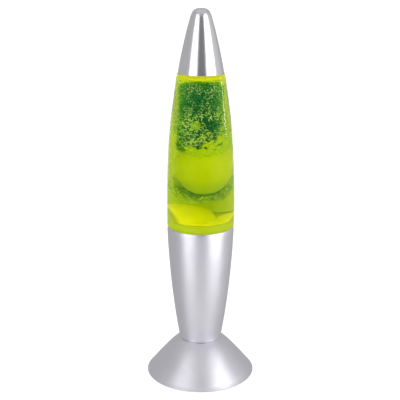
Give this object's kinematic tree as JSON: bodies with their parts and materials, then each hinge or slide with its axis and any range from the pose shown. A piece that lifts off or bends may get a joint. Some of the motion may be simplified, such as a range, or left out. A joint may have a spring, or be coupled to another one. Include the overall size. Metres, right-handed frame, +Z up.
{
  "type": "lava lamp",
  "caption": "Rocket-shaped lava lamp with a flared metal foot and cup, a tapered glass bottle of green liquid and yellow wax, and a pointed metal cap.",
  "frame": {"origin": "on the table under the lamp's axis, at the middle of its footprint", "axes": "+Z up along the lamp's axis, +Y towards the back, where the cord inlet is, and +X to the right as seen from the front"},
  "size_m": [0.109, 0.109, 0.37],
  "materials": {
    "satin_aluminium": "satin",
    "gloss_aluminium": "gloss",
    "zinc_steel": "satin",
    "tinplate": "gloss",
    "spring_steel": "satin",
    "tungsten": "satin",
    "brass": "satin",
    "bulb_cap_metal": "gloss",
    "bulb_insulator": "gloss",
    "black_plastic": "matte",
    "holder_phenolic": "satin",
    "holder_ceramic": "matte",
    "black_rubber": "matte",
    "seal_rubber": "matte",
    "bottle_glass": "gloss",
    "bulb_glass": "gloss",
    "green_liquid": "gloss",
    "yellow_wax": "satin"
  },
  "bodies": {
    "base": {"base_foot": "satin_aluminium", "base_cup": "satin_aluminium", "mounting_bracket": "zinc_steel", "ring_nut_upper": "black_plastic", "ring_nut_lower": "black_plastic", "lampholder_skirt": "holder_phenolic", "lampholder_dome": "holder_phenolic", "lampholder_core": "holder_ceramic", "lampholder_thread_sleeve": "brass", "lampholder_centre_contact": "brass", "terminal_screw_1": "zinc_steel", "terminal_screw_2": "zinc_steel", "cord_gland": "black_plastic", "cord_grommet": "black_rubber", "bottom_cover": "black_plastic", "cover_screw_1": "zinc_steel", "cover_screw_2": "zinc_steel", "rubber_pad_1": "black_rubber", "rubber_pad_2": "black_rubber", "rubber_pad_3": "black_rubber", "rubber_pad_4": "black_rubber"},
    "bulb_eyelet": {"bulb_centre_contact": "bulb_cap_metal"},
    "bulb": {"bulb_insulator": "bulb_insulator", "bulb_screw_shell": "bulb_cap_metal", "bulb_envelope": "bulb_glass", "bulb_stem": "bulb_glass", "bulb_lead_wire_1": "bulb_cap_metal", "bulb_lead_wire_2": "bulb_cap_metal", "bulb_filament": "tungsten"},
    "bottle": {"glass_bottle": "bottle_glass", "crown_liner": "seal_rubber", "crown_cap": "tinplate", "wax_pool": "yellow_wax", "wax_top_layer": "yellow_wax", "lava_liquid": "green_liquid", "wax_coil": "spring_steel"},
    "wax_blob": {"wax_blob": "yellow_wax"},
    "wax_bead": {"wax_bead": "yellow_wax"},
    "cap": {"cap_shell": "gloss_aluminium"}
  },
  "joints": [
    {"name": "bottle_lift", "type": "slide", "parent": "base", "child": "bottle", "axis": [0, 0, 1], "range_m": [0, 0.1]},
    {"name": "cap_lift", "type": "slide", "parent": "bottle", "child": "cap", "axis": [0, 0, 1], "range_m": [0, 0.05]},
    {"name": "bulb_rise", "type": "slide", "parent": "base", "child": "bulb_eyelet", "axis": [0, 0, 1], "range_m": [0, 0.01412]},
    {"name": "bulb_unscrew", "type": "hinge", "parent": "bulb_eyelet", "child": "bulb", "pos_m": [0, 0, 0.05], "axis": [0, 0, 1], "range_deg": [0, 1800]},
    {"name": "wax_blob_rise", "type": "slide", "parent": "bottle", "child": "wax_blob", "axis": [0, 0, 1], "range_m": [-0.008, 0.016], "deforming": ["lava_liquid"]},
    {"name": "wax_bead_rise", "type": "slide", "parent": "bottle", "child": "wax_bead", "axis": [0, 0, 1], "range_m": [0, 0.03], "deforming": ["lava_liquid"]}
  ],
  "couplings": [
    {"joint": "bulb_rise", "follows": "bulb_unscrew", "m_per_rad": 0.00044913}
  ]
}
